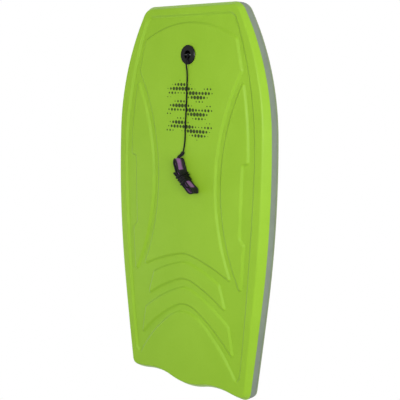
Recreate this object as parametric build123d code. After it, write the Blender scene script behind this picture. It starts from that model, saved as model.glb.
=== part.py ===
from build123d import *
import math
import os

# A soft-top bodyboard with its wrist leash, in millimetres, lying deck up on its flat bottom.
# +Y points to the nose, +X to the rider's right and +Z up. The origin is under the middle.

# Plan shape, at the widest line of the rail
board_length = 1075.0
board_width = 568.0
nose_width = 352.0           # straight nose edge, before its corners are rounded
nose_corner_radius = 42.0
nose_side_angle = 30.8       # how far the sides flare as they leave the nose
wide_point_from_nose = 447.0
belly_share = 0.588          # the widest arc covers this share of the way from there to the tail
belly_draw = 1.36            # and ends leaning in this many times more than a straight side would
tail_width = 461.0           # between the tail corners, before they are rounded
tail_corner_radius = 26.0
tail_notch_depth = 17.5      # the two shallow notches of the wavy tail
tail_notch_spacing = 238.0
tail_tip_depth = 9.5         # the outer tips stop short of the middle bulge by this

# Section of the board
deck_height = 55.0           # top of the deck at its high point
deck_arc_radius = 16900.0    # the deck falls away towards nose and tail along this arc
deck_high_point = -31.5
chine_height = 10.0          # the bottom skin turns up to here
chine_inset = 2.0
rail_band_top = 31.0         # the deck skin comes down to here
rail_band_thickness = 6.0
deck_bevel_slope = 0.60      # the edge of the deck leans in by this much for each mm of rise
crest_bevel = 2.5
deck_skin_thickness = 10.0
bottom_skin_thickness = 4.0
nose_band_width = 270.0      # the rail strips butt against the nose and tail strips here
tail_band_width = 370.0

# Moulded relief of the deck
groove_depth = 6.0
groove_edge_bevel = 2.4
shortest_edge = 0.01         # anything shorter is left over from joining the outlines
rim_width_at_nose = 30.0     # from the nose to the groove that runs round the deck
rim_start = 159.9            # half width of the deck inside the rim, at the nose groove
rim_start_angle = 24.2
rim_arcs = [(943.0, 25.7), (5944.0, 5.4)]      # radius and turn of each arc
rim_groove_width = 20.0
rim_groove_corner = 25.0
waist_groove_width = 17.0
plateau_from_nose = 48.0
plateau_arc_drop = 46.0
plateau_arc_width = 344.0
plateau_corner_from_nose = 179.0
waist_radius = 594.0         # hollow arc of the plateau's flanks
waist_half_width = 109.7
waist_from_nose = 483.0
finger_recess = 19.0                  # bite out of each side pad for the fingers
finger_recess_from_nose = 424.0
finger_recess_length = 196.0
recess_ramp = 18.0
pad_corner_radius = 5.0
pad_tip_radius = 4.0

# Chevrons of the deck from front to back: distance of the point from the nose, radius of the
# rounded point and its turn to each side, radius of the arms and their turn
chevrons = [
    (689.0, 113.9, 13.2, 630.2, 14.2),
    (711.0, 80.6, 14.1, 453.5, 14.8),
    (761.0, 75.6, 18.8, 479.0, 17.4),
    (784.0, 73.7, 21.0, 497.0, 18.3),
    (835.0, 81.6, 28.2, 486.8, 21.9),
    (855.0, 101.6, 35.9, 474.4, 23.5),
]

# Leash plug
plug_from_nose = 136.0
plug_flange_radius = 26.5
plug_flange_thickness = 4.0
plug_flange_bevel = 1.6
plug_seat_depth = 1.2
cup_radius = 12.0
cup_depth = 17.0
cup_wall = 3.0
stem_radius = 8.5
stem_length = 12.0
base_flange_radius = 22.0
base_flange_thickness = 2.5
base_tube_wall = 3.0
base_tube_length = 20.0
coin_slot = (22.0, 3.0, 1.4)
plug_clearance = 0.15
pin_radius = 2.2
pin_depth = 6.0              # pin axis below the top of the flange
pin_seat = 2.0               # how far each end of the pin goes into the cup's wall
knot_radius = 5.6
knot_length = 10.0

# Leash cord and cuff
cord_diameter = 4.0
strap_height = 32.0
outer_layer = 3.0
lining_layer = 1.5
patch_thickness = 0.9
cuff_gap = 9.5               # the slot left inside the folded strap
cuff_straight = 84.0         # straight walls between the two turns
cuff_x = 17.0
cuff_y = 68.5
cuff_angle = -52.7
inner_end = 32.0             # where the covered end of the strap stops, from the middle
outer_end = -40.0            # and its visible end
patch_length = 52.0
patch_height = 26.0
keeper_width = 27.0
keeper_thickness = 2.2
soft_clearance = 0.25
tab_width = 9.0
tab_thickness = 4.5
tab_seat = 1.0               # its line ends this far from the head of the cuff

nose_y = board_length / 2
tail_y = -board_length / 2
half_width = board_width / 2
plug_y = nose_y - plug_from_nose
loft_top = deck_height + 2


def deck_z(y):
    """Height of the deck surface above the floor at a given y."""
    return deck_height - deck_arc_radius + math.sqrt(deck_arc_radius ** 2 - (y - deck_high_point) ** 2)


def mirrored(edge):
    return mirror(edge, about=Plane.YZ)


def facing(angle):
    """Direction at an angle from +X towards the nose; the side there is flared by the same angle."""
    return Vector(math.cos(math.radians(angle)), math.sin(math.radians(angle)))


def arc_run(centre, start, runs, inset=0.0):
    """Tangent arcs down the right-hand side, turning inwards, all moved inwards by an inset.

    The first has its centre and starting angle given; each run is a radius and a turn.
    """
    arcs, angle = [], start
    for step, (radius, turn) in enumerate(runs):
        if step:
            centre = centre + facing(angle) * (runs[step - 1][0] - radius)
        arcs.append(CenterArc(centre, radius - inset, angle, -turn))
        angle = angle - turn
    return arcs


# ---------------------------------------------------------------- plan outline

nose_corner = Vector(nose_width / 2 - nose_corner_radius * 0.62, nose_y - nose_corner_radius)
tail_corner = Vector(tail_width / 2 - tail_corner_radius, tail_y + tail_tip_depth + tail_corner_radius)
wide_point = Vector(half_width, nose_y - wide_point_from_nose)
to_tail = wide_point - tail_corner
belly_lean = belly_draw * math.degrees(math.atan2(to_tail.X - tail_corner_radius, to_tail.Y))
belly_radius = belly_share * to_tail.Y / math.sin(math.radians(belly_lean))
belly_centre = wide_point - Vector(belly_radius, 0)


def arc_between(point, angle, circle_centre, circle_radius):
    """Radius of the arc that starts at a point facing an angle and runs smoothly into a circle."""
    gap = point - circle_centre
    return (gap.dot(gap) - circle_radius ** 2) / (2 * (gap.dot(facing(angle)) - circle_radius))


def way_from(start, finish):
    """Angle that a point faces, seen from a centre."""
    return math.degrees(math.atan2(finish.Y - start.Y, finish.X - start.X))


# Down each side: a shoulder arc, the widest arc and a nearly straight arc into the tail corner
nose_touch = nose_corner + facing(nose_side_angle) * nose_corner_radius
shoulder_radius = arc_between(nose_touch, nose_side_angle, belly_centre, belly_radius)
shoulder_centre = nose_touch - facing(nose_side_angle) * shoulder_radius
shoulder_end = way_from(belly_centre, shoulder_centre)
belly_end = belly_centre + facing(-belly_lean) * belly_radius
hip_radius = arc_between(belly_end, -belly_lean, tail_corner, tail_corner_radius)
side_end = way_from(belly_end - facing(-belly_lean) * hip_radius, tail_corner)
side_runs = [
    (shoulder_radius, nose_side_angle - shoulder_end),
    (belly_radius, shoulder_end + belly_lean),
    (hip_radius, -belly_lean - side_end),
]


def swing(drop, across):
    """Radius and turn of the two equal arcs of a wave of the tail."""
    radius = (across ** 2 + drop ** 2) / (4 * drop)
    return radius, math.degrees(math.asin(across / 2 / radius))


def board_plan(inset=0.0):
    """Plan of the board, moved inwards all round by an inset."""
    side = arc_run(shoulder_centre, nose_side_angle, side_runs, inset)
    nose_turn = CenterArc(nose_corner, nose_corner_radius - inset, nose_side_angle, 90 - nose_side_angle)
    tail_turn = CenterArc(tail_corner, tail_corner_radius - inset, side_end, -90 - side_end)
    notch_x, notch_y = tail_notch_spacing / 2, tail_y + tail_notch_depth
    outer, outer_turn = swing(tail_notch_depth - tail_tip_depth, tail_corner.X - notch_x)
    bulge, bulge_turn = swing(tail_notch_depth, notch_x)
    tip = CenterArc((tail_corner.X, tail_y + tail_tip_depth + outer), outer - inset, 270, -outer_turn)
    notch_out = CenterArc((notch_x, notch_y - outer), outer + inset, 90 - outer_turn, outer_turn)
    notch_in = CenterArc((notch_x, notch_y - bulge), bulge + inset, 90, bulge_turn)
    middle = CenterArc((0, tail_y + bulge), bulge - inset, 270 - bulge_turn, 2 * bulge_turn)
    nose = Line((-nose_corner.X, nose_y - inset), (nose_corner.X, nose_y - inset))
    half = side + [nose_turn, tail_turn, tip, notch_out, notch_in]
    return make_face([nose, middle] + half + [mirrored(edge) for edge in half])


def slab(inset, low, high):
    return extrude(Pos(0, 0, low) * board_plan(inset), high - low)


def bevelled(inset):
    """Upper part of the board, leaning in from the rail band."""
    lean = (loft_top - rail_band_top) * deck_bevel_slope
    ends = [Pos(0, 0, rail_band_top) * board_plan(inset), Pos(0, 0, loft_top) * board_plan(inset + lean)]
    return loft(ends, ruled=True)


def arc_to(depth, level):
    """Solid between a level and the deck's arc lowered by a depth."""
    half = math.degrees(math.asin(board_length * 0.6 / deck_arc_radius))
    centre = (deck_high_point, deck_height - deck_arc_radius)
    curve = CenterArc(centre, deck_arc_radius - depth, 90 - half, 2 * half)
    start, finish = curve @ 0, curve @ 1
    sides = Polyline(finish, (finish.X, level), (start.X, level), start)
    return extrude(Plane.YZ * make_face([curve, sides]), board_width * 0.6, both=True)


def under_arc(depth):
    return arc_to(depth, -deck_height)


def over_arc(depth):
    return arc_to(depth, 2 * deck_height)


# ---------------------------------------------------------------- deck relief

def corners_at(face, point):
    """The two mirrored corners of a face at a point of its right-hand half."""
    return [v for v in face.vertices() if abs(abs(v.X) - point.X) < 0.5 and abs(v.Y - point.Y) < 0.5]


def from_nose(x, distance):
    return Vector(x, nose_y - distance)


def rim_line(distance):
    """Inner edge of the rim on the right, moved inwards, running down from the nose groove."""
    start = from_nose(rim_start, rim_width_at_nose)
    centre = start - facing(rim_start_angle) * rim_arcs[0][0]
    arcs = arc_run(centre, rim_start_angle, rim_arcs, distance)
    lead, first = facing(rim_start_angle + 90), arcs[0] @ 0
    return [Line(first + lead * ((start.Y - first.Y) / lead.Y), first)] * (distance > 0) + arcs


def chevron(index):
    point, tip, tip_turn, arm, arm_turn = chevrons[index]
    nose_side = from_nose(0, point + tip)
    arms = CenterArc(nose_side + facing(90 - tip_turn) * (tip - arm), arm, 90 - tip_turn, -arm_turn)
    return [mirrored(arms), CenterArc(nose_side, tip, 90 + tip_turn, -2 * tip_turn), arms]


def end_of(lines):
    return lines[-1] @ 1


def groove_pool():
    """All that the rim groove encloses, down to the last chevron."""
    rim, last = rim_line(0), chevron(5)
    top = rim[0] @ 0
    turn = Line(end_of(rim), end_of(last))
    nose = Line((-top.X, top.Y), top)
    pool = make_face([nose, turn, mirrored(turn)] + last + rim + [mirrored(edge) for edge in rim])
    pool = fillet(corners_at(pool, top), rim_groove_corner)
    return fillet(corners_at(pool, turn @ 0) + corners_at(pool, turn @ 1), pad_corner_radius)


waist_y = from_nose(0, waist_from_nose).Y


def waist_x(y):
    """Half width of the plateau at a given y between its corner and its foot."""
    return waist_half_width + waist_radius - math.sqrt(waist_radius ** 2 - (waist_y - y) ** 2)


def chest_plateau():
    shoulder = from_nose(plateau_arc_width / 2, plateau_from_nose + plateau_arc_drop)
    arc = ThreePointArc((-shoulder.X, shoulder.Y), from_nose(0, plateau_from_nose), (shoulder.X, shoulder.Y))
    corner_y = from_nose(0, plateau_corner_from_nose).Y
    foot = chevron(0)
    waist_line = ThreePointArc((waist_x(corner_y), corner_y), from_nose(waist_half_width, waist_from_nose),
                               end_of(foot))
    flank = Line(shoulder, waist_line @ 0)
    face = make_face([arc, flank, waist_line, mirrored(waist_line), mirrored(flank)] + foot)
    return fillet(face.vertices().filter_by(lambda v: v.X ** 2 > waist_half_width ** 2), pad_corner_radius)


def chevron_panel(front, back):
    upper, lower = chevron(front), chevron(back)
    end = Line(end_of(upper), end_of(lower))
    face = make_face(upper + lower + [end, mirrored(end)])
    return fillet(corners_at(face, end @ 0) + corners_at(face, end @ 1), pad_corner_radius)


def reach(face, y):
    """How far a face reaches to the right at a given y."""
    return max(corner.X for corner in (Line((0, y), (board_width, y)) & face).vertices())


def elbow_pad():
    """Right-hand side pad, between the waist groove and the rim groove, with its finger recess."""
    outer = rim_line(rim_groove_width)
    far = board_width
    beside = Pos(*from_nose(waist_half_width + waist_radius, waist_from_nose)) * Circle(
        waist_radius - waist_groove_width)
    first, foot = outer[0] @ 0, end_of(outer)
    within = make_face(outer + [Polyline(foot, (0, foot.Y), (0, first.Y), first)])
    top, low = finger_recess_from_nose, finger_recess_from_nose + finger_recess_length
    edge_top, edge_low = reach(within, from_nose(0, top).Y), reach(within, from_nose(0, low).Y)
    bite = Polyline(
        from_nose(far, top - 4.5), from_nose(edge_top + 2, top - 4.5),
        from_nose(edge_top - finger_recess, top), from_nose(edge_low - finger_recess + 3, low),
        from_nose(edge_low + 2, low + recess_ramp), from_nose(far, low + recess_ramp), close=True)
    pad = ((beside & within) - make_face(bite)).faces().sort_by(SortBy.AREA)[-1]
    joints = [arc @ 1 for arc in outer[:-1]]
    corners = [v for v in pad.vertices() if min((v.center() - joint).length for joint in joints) > 1]
    pad = pad.fillet_2d(pad_tip_radius, [max(corners, key=lambda v: v.Y)])
    ends = sorted(corners, key=lambda v: v.Y)[:-1]
    return pad.fillet_2d(pad_corner_radius, [v for end in ends for v in corners_at(pad, end)])


# ---------------------------------------------------------------- board

plug_deck = deck_z(plug_y)
seat_z = plug_deck - plug_seat_depth
flange_top = seat_z + plug_flange_thickness
cup_outer = cup_radius + cup_wall
cup_bottom = flange_top - cup_depth - cup_wall
base_outer = stem_radius + plug_clearance + base_tube_wall
plug_axis = Pos(0, plug_y, 0)


def upright(radius, low, high):
    """Round bar or hole on the plug's axis."""
    return plug_axis * Pos(0, 0, (low + high) / 2) * Cylinder(radius, high - low)


def plug_hole():
    """Clearance hole for the two halves of the plug."""
    cup = upright(cup_outer + plug_clearance, cup_bottom, loft_top + plug_flange_thickness)
    tube = upright(base_outer + plug_clearance, -1, cup_bottom)
    return cup + tube


def make_core():
    block = slab(rail_band_thickness, bottom_skin_thickness, rail_band_top)
    top = bevelled(rail_band_thickness) - over_arc(deck_skin_thickness)
    return block + top


def make_deck(core):
    blank = bevelled(0) - over_arc(0)
    crest = blank.faces().sort_by(Axis.Z)[-1].edges()
    blank = chamfer(crest, crest_bevel)
    pad = elbow_pad()
    relief = groove_pool() - chest_plateau() - pad - mirrored(pad)
    relief = relief - chevron_panel(1, 2) - chevron_panel(3, 4)
    below = rail_band_top + groove_depth / 2
    cutter = extrude(Pos(0, 0, below) * relief, loft_top - below) - under_arc(groove_depth)
    grooved = blank - cutter
    lips = [edge for edge in new_edges(blank, combined=grooved) if edge.length > shortest_edge
            and abs((edge @ 0.5).Z - deck_z((edge @ 0.5).Y)) < groove_depth / 4]
    grooved = chamfer(lips, groove_edge_bevel)
    seat = upright(plug_flange_radius + plug_clearance, seat_z, loft_top)
    return grooved - core - plug_hole() - seat


def make_bottom():
    ends = [board_plan(chine_inset), Pos(0, 0, chine_height) * board_plan()]
    tray = loft(ends, ruled=True) - slab(rail_band_thickness, bottom_skin_thickness, chine_height + 1)
    seat = upright(base_flange_radius + plug_clearance, -1, base_flange_thickness)
    return tray - plug_hole() - seat


def make_rails():
    """The foam band round the edge, in four strips that butt together."""
    ring = slab(0, chine_height, rail_band_top) - slab(rail_band_thickness, chine_height, rail_band_top)
    middle = (chine_height + rail_band_top) / 2
    nose_cut = Pos(0, nose_y, middle) * Box(nose_band_width, 4 * rail_band_thickness, board_width)
    tail_cut = Pos(0, tail_y, middle) * Box(tail_band_width, 8 * rail_band_thickness, board_width)
    right_cut = Pos(board_width / 2, 0, middle) * Box(board_width, 2 * board_length, board_width)
    sides = ring - nose_cut - tail_cut
    return {
        "nose_rail": ring & nose_cut,
        "tail_rail": ring & tail_cut,
        "rail_right": sides & right_cut,
        "rail_left": sides - right_cut,
    }


# ---------------------------------------------------------------- leash plug

pin_z = flange_top - pin_depth
pin_length = 2 * (cup_radius + pin_seat)


def pin_bar(radius, length):
    return Pos(0, plug_y, pin_z) * Rot(0, 90, 0) * Cylinder(radius, length)


def make_plug_top():
    flange = upright(plug_flange_radius, seat_z, flange_top)
    flange = chamfer(flange.edges().group_by(Axis.Z)[-1], plug_flange_bevel)
    cup = upright(cup_outer, cup_bottom, seat_z)
    stem = upright(stem_radius, cup_bottom - stem_length, cup_bottom)
    body = flange + cup + stem
    body = body - upright(cup_radius, flange_top - cup_depth, flange_top + 1)
    return body - pin_bar(pin_radius, pin_length)


def make_plug_base():
    flange = upright(base_flange_radius, 0, base_flange_thickness)
    tube = upright(base_outer, base_flange_thickness, base_flange_thickness + base_tube_length)
    bore_bottom = base_flange_thickness + coin_slot[2]
    bore = upright(stem_radius + plug_clearance, bore_bottom, cup_bottom)
    slot = plug_axis * Pos(0, 0, coin_slot[2] / 2) * Box(*coin_slot)
    return flange + tube - bore - slot


def make_knot():
    """Turns of the cord's end round the pin, as one plain barrel."""
    return pin_bar(knot_radius, knot_length) - pin_bar(pin_radius, pin_length)


# ---------------------------------------------------------------- leash and cuff

cord_route = [
    (0.0, 396.8, 50.6),
    (1.0, 387.5, 57.4),
    (2.8, 371.0, 58.2),
    (2.6, 348.0, 53.9),
    (0.8, 311.0, 53.9),
    (0.9, 262.0, 54.9),
    (-1.9, 213.0, 55.6),
    (-1.6, 172.0, 56.1),
    (-4.0, 147.0, 57.5),
    (-5.6, 132.0, 61.0),
]


def turn_of(before, at, after):
    return (Vector(*at) - Vector(*before)).get_angle(Vector(*after) - Vector(*at))


def cord_radii(route):
    radii = []
    for before, at, after in zip(route, route[1:], route[2:]):
        shorter = min((Vector(*at) - Vector(*before)).length, (Vector(*after) - Vector(*at)).length)
        radii.append(0.45 * shorter / math.tan(math.radians(turn_of(before, at, after) / 2)))
    return radii


def make_cord():
    radii = cord_radii(cord_route)
    path = FilletPolyline(*cord_route, radius=radii)
    section = Plane(path @ 0, z_dir=path % 0) * Circle(cord_diameter / 2)
    cord = sweep(section, path=path)
    ideal = math.pi * cord_diameter ** 2 / 4 * path.length
    print("cord radii", [round(radius, 1) for radius in radii])
    print("cord length", round(path.length, 1), "volume ratio", round(cord.volume / ideal, 4))
    return cord


cuff_place = Pos(cuff_x, cuff_y, 0) * Rot(0, 0, cuff_angle)
strap_floor = deck_height + soft_clearance * 2 + keeper_thickness
near_wall = cuff_gap / 2 + lining_layer            # where lining and outer strap meet
overlap_start = near_wall + outer_layer
loop_face = overlap_start + soft_clearance
hook_face = loop_face + patch_thickness + soft_clearance
outer_lining = hook_face + patch_thickness + soft_clearance
outer_wall = outer_lining + lining_layer


def wound_layer(inside, outside, start, finish):
    """Layer of the rolled strap between two offsets of its line, seen from above.

    The strap starts on the covered side, runs round both turns and ends outside.
    """
    half = cuff_straight / 2
    lines = []
    for offset in (inside, outside):
        near, covered, cover = near_wall + offset, near_wall + offset, outer_wall + offset
        inner_run = Line((start, -covered), (-half, -covered))
        head = CenterArc((-half, 0), near, 270, -180)
        near_run = Line((-half, near), (half, near))
        foot = CenterArc((half, (near - cover) / 2), (near + cover) / 2, 90, -180)
        outer_run = Line((half, -cover), (finish, -cover))
        lines.append([inner_run, head, near_run, foot, outer_run])
    first = Line(lines[0][0] @ 0, lines[1][0] @ 0)
    last = Line(lines[0][4] @ 1, lines[1][4] @ 1)
    return make_face(lines[0] + lines[1] + [first, last])


def standing(face, height, low):
    return cuff_place * extrude(Pos(0, 0, low) * face, height)


def make_cuff():
    strap = wound_layer(0, outer_layer, inner_end, outer_end)
    lining = wound_layer(-lining_layer, 0, inner_end, outer_end)
    patch_low = strap_floor + (strap_height - patch_height) / 2
    loop = Pos(0, -(loop_face + patch_thickness / 2)) * Rectangle(patch_length, patch_thickness)
    hook = Pos(0, -(hook_face + patch_thickness / 2)) * Rectangle(patch_length, patch_thickness)
    across = overlap_start + outer_wall + outer_layer + 2 * soft_clearance
    middle = (overlap_start - outer_wall - outer_layer) / 2
    tall = strap_height + 2 * soft_clearance
    centre = cuff_place * Pos(0, middle, strap_floor + strap_height / 2)
    block = Box(keeper_width, across + 2 * keeper_thickness, tall + 2 * keeper_thickness)
    block = fillet(block.edges().filter_by(Axis.X), keeper_thickness)
    opening = Box(keeper_width * 2, across, tall)
    return {
        "cuff_strap": standing(strap, strap_height, strap_floor),
        "cuff_lining": standing(lining, strap_height, strap_floor),
        "loop_patch": standing(loop, patch_height, patch_low),
        "hook_patch": standing(hook, patch_height, patch_low),
        "cuff_band": centre * (block - opening),
    }


def make_tab():
    """Doubled webbing from the end of the cord up to the head of the cuff."""
    start = Vector(*cord_route[-1])
    head = cuff_place * Pos(-cuff_straight / 2 - overlap_start - tab_seat, 0, strap_floor + strap_height / 2)
    finish = head.position
    flat = Vector(finish.X - start.X, finish.Y - start.Y, 0).normalized()
    frame = Plane(origin=start, x_dir=flat, z_dir=flat.rotate(Axis.Z, -90))
    rise, run = finish.Z - start.Z, Vector(finish.X - start.X, finish.Y - start.Y).length
    line = Spline((0, 0), (run * 0.45, rise * 0.62), (run, rise), tangents=[(1, 0.9), (1, 0.35)])
    path = frame * line
    section = Plane(path @ 0, z_dir=path % 0, x_dir=flat.rotate(Axis.Z, 90))
    return sweep(section * Rectangle(tab_width, tab_thickness), path=path)


core_blank = make_core()
parts = {
    "foam_core": core_blank - plug_hole(),
    "deck_skin": make_deck(core_blank),
    "bottom_skin": make_bottom(),
    **make_rails(),
    "plug_top": make_plug_top(),
    "plug_base": make_plug_base(),
    "plug_pin": pin_bar(pin_radius, pin_length),
    "plug_knot": make_knot(),
    "leash_cord": make_cord(),
    "webbing_tab": make_tab(),
    **make_cuff(),
}

os.makedirs("parts", exist_ok=True)
for name, shape in parts.items():
    export_step(shape, f"parts/{name}.step")
    print(name, len(shape.solids()), round(shape.volume), shape.is_valid)
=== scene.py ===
import bpy
import bmesh
import math
import numpy as np
from functools import partial
from mathutils import Matrix, Vector
from mathutils.bvhtree import BVHTree
from mathutils.geometry import delaunay_2d_cdt


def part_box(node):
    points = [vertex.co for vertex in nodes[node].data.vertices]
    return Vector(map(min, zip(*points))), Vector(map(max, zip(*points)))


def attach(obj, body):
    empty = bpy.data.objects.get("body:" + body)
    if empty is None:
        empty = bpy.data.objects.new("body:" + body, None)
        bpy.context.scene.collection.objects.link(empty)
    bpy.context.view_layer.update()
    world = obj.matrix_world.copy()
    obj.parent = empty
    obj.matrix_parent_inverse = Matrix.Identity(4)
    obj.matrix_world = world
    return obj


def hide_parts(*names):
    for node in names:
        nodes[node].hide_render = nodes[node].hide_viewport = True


# all sizes in metres: the nose is at +Y, and the board lies deck up on Z = 0
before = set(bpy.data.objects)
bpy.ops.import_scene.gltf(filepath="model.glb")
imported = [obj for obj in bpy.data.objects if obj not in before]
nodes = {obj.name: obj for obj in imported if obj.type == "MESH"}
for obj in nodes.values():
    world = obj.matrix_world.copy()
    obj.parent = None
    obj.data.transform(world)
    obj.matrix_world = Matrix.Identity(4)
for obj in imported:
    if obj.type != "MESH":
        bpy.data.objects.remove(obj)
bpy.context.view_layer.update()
print("frame loaded", len(nodes), "nodes")


def placed(name, data):
    piece = bpy.data.objects.new(name, data)
    bpy.context.scene.collection.objects.link(piece)
    return piece


def addNode(tree, kind, values=None, **settings):
    made = tree.nodes.new(kind)
    for key, value in settings.items():
        setattr(made, key, value)
    for key, value in (values or {}).items():
        if isinstance(value, bpy.types.NodeSocket):
            tree.links.new(value, made.inputs[key])
        else:
            made.inputs[key].default_value = value
    return made


view = {
    "eye": (1.6536, 0.3307, 1.7702),
    "right": (0.7314, 0.0120, -0.6818),
    "ahead": (-0.6752, -0.1362, -0.7250),
    "lens": 77.8,
    "sensor": 36.0,
    "clipEnd": 50.0,
}


def makeCamera(spec):
    ahead = Vector(spec["ahead"]).normalized()
    right = Vector(spec["right"])
    right = (right - ahead * right.dot(ahead)).normalized()
    up = right.cross(ahead)
    data = bpy.data.cameras.new("studioCamera")
    data.lens = spec["lens"]
    data.sensor_width = spec["sensor"]
    data.clip_end = spec["clipEnd"]
    camera = placed("studioCamera", data)
    turn = Matrix((right, up, -ahead)).transposed()
    camera.matrix_world = Matrix.Translation(Vector(spec["eye"])) @ turn.to_4x4()
    bpy.context.scene.camera = camera


makeCamera(view)

studio = {
    "worldColor": (1.0, 1.0, 1.0),
    "worldStrength": 0.5,
    "floorColor": (0.93, 0.93, 0.93),
    "floorRough": 0.9,
    "floorSize": 60.0,
    "lamps": [
        # name, place, aimed at, size, power, colour
        ("keySoft", (2.3, 0.65, 1.8), (0.0, 0.0, 0.03), 1.0, 42.0, (1.0, 0.99, 0.97)),
        ("topSoft", (0.3, 0.4, 2.8), (0.0, 0.0, 0.03), 2.4, 28.0, (1.0, 1.0, 1.0)),
        ("sideSoft", (2.3, 0.12, 0.75), (0.25, 0.12, 0.03), 0.8, 6.0, (1.0, 1.0, 1.0)),
        ("fillSoft", (-2.4, -0.6, 0.9), (0.0, -0.1, 0.03), 1.2, 8.0, (1.0, 1.0, 1.0)),
    ],
}


def makeStudio(spec):
    scene = bpy.context.scene
    world = bpy.data.worlds.new("studioWorld")
    world.use_nodes = True
    back = world.node_tree.nodes["Background"]
    back.inputs["Color"].default_value = (*spec["worldColor"], 1)
    back.inputs["Strength"].default_value = spec["worldStrength"]
    scene.world = world
    scene.view_settings.view_transform = "Standard"
    for name, place, target, size, power, color in spec["lamps"]:
        data = bpy.data.lights.new(name, "AREA")
        data.shape = "DISK"
        data.size = size
        data.energy = power
        data.color = color
        lamp = placed(name, data)
        aim = Vector(target) - Vector(place)
        lamp.location = place
        lamp.rotation_euler = aim.to_track_quat("-Z", "Y").to_euler()
    half = spec["floorSize"] / 2
    mesh = bpy.data.meshes.new("studioFloor")
    mesh.from_pydata([(-half, -half, 0), (half, -half, 0), (half, half, 0), (-half, half, 0)], [],
                     [(0, 1, 2, 3)])
    material = bpy.data.materials.new("floorPaper")
    material.use_nodes = True
    tree = material.node_tree
    paper = tree.nodes["Principled BSDF"]
    paper.inputs["Base Color"].default_value = (*spec["floorColor"], 1)
    paper.inputs["Roughness"].default_value = spec["floorRough"]
    # what the camera sees of the paper is pure white, without the board's shadow
    seen = addNode(tree, "ShaderNodeLightPath").outputs["Is Camera Ray"]
    glow = addNode(tree, "ShaderNodeEmission").outputs["Emission"]
    blend = addNode(tree, "ShaderNodeMixShader", {0: seen, 1: paper.outputs["BSDF"], 2: glow})
    tree.links.new(blend.outputs["Shader"], tree.nodes["Material Output"].inputs["Surface"])
    mesh.materials.append(material)
    placed("studioFloor", mesh)


makeStudio(studio)
print("studio ready")

def srgb(red, green, blue):
    tones = [v / 255 for v in (red, green, blue)]
    return (*[t / 12.92 if t <= 0.04045 else ((t + 0.055) / 1.055) ** 2.4 for t in tones], 1)


def softStep(value, low, high):
    share = np.clip((value - low) / (high - low), 0, 1)
    return share * share * (3 - 2 * share)


def gridFaces(rows, columns, wrapRows=False):
    # quads between neighbouring closed rings
    faces = []
    for i in range(rows if wrapRows else rows - 1):
        a, b = i * columns, (i + 1) % rows * columns
        for j in range(columns):
            k = (j + 1) % columns
            faces.append((a + j, a + k, b + k, b + j))
    return faces


def shellOf(sections):
    # skin over a row of closed sections, shut at both ends
    sections = np.asarray(sections, float)
    rows, columns = sections.shape[:2]
    ends = [tuple(range(columns)), tuple(range((rows - 1) * columns, rows * columns))]
    return sections.reshape(-1, 3), gridFaces(rows, columns) + ends


def buildPiece(name, blocks, bend, weld=1e-5, marks=None):
    # joins blocks of (vertices, faces) into one closed piece, with marks as its point attributes
    verts, faces = [], []
    for some, loops in blocks:
        base = len(verts)
        verts.extend(tuple(float(c) for c in v) for v in some)
        faces.extend(tuple(base + i for i in loop) for loop in loops)
    mesh = bpy.data.meshes.new(name)
    mesh.from_pydata(verts, [], faces)
    for label, (kind, key, numbers) in (marks or {}).items():
        mark = mesh.attributes.new(label, kind, "POINT")
        mark.data.foreach_set(key, np.asarray(numbers, np.float32).ravel())
    work = bmesh.new()
    work.from_mesh(mesh)
    if weld:
        bmesh.ops.remove_doubles(work, verts=work.verts, dist=weld)
    bmesh.ops.recalc_face_normals(work, faces=work.faces)
    work.to_mesh(mesh)
    work.free()
    mesh.shade_smooth()
    mesh.set_sharp_from_angle(angle=math.radians(bend))
    return placed(name, mesh)


nodePaints = {"foam_core": "coreFoam", "plug_top": "plugPlastic", "plug_base": "plugPlastic",
              "plug_pin": "pinSteel"}


def settle(piece, node, finish):
    # the piece takes the place of a CAD node, which is painted alike
    nodePaints[node] = finish
    piece.data.materials.append(paints[finish])
    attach(piece, "root")
    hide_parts(node)


def calc(tree, operation, *terms, clamp=False):
    made = addNode(tree, "ShaderNodeMath", dict(enumerate(terms)), operation=operation, use_clamp=clamp)
    return made.outputs[0]


def mixed(tree, factor, first, second):
    # 0, 6 and 7 are the node's sockets for mixing colours
    return addNode(tree, "ShaderNodeMix", {0: factor, 6: first, 7: second}, data_type="RGBA").outputs[2]


def ranged(tree, value, low, high):
    made = addNode(tree, "ShaderNodeMapRange", {"Value": value, "To Min": low, "To Max": high})
    return made.outputs["Result"]


def makeGroup(name, inputs, outputs, fill):
    # takes a Vector and named numbers, and puts out masks, heights or tones
    tree = bpy.data.node_groups.new(name, "ShaderNodeTree")
    tree.interface.new_socket(name="Vector", in_out="INPUT", socket_type="NodeSocketVector")
    for labels, way in ((inputs, "INPUT"), (outputs, "OUTPUT")):
        for label in labels:
            tree.interface.new_socket(name=label, in_out=way, socket_type="NodeSocketFloat")
    source = tree.nodes.new("NodeGroupInput")
    finish = tree.nodes.new("NodeGroupOutput")
    for label, value in fill(tree, source.outputs).items():
        tree.links.new(value, finish.inputs[label])
    return tree


foamGrain = {
    "broad": {"Scale": 9.0, "Detail": 3.0},
    "fine": {"Scale": 160.0, "Detail": 4.0},
    "cellHeight": 0.6,       # share of each in the bump
    "fineHeight": 0.5,
    "broadTone": 0.7,        # and in the colour and gloss
    "fineTone": 0.3,
}


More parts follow.
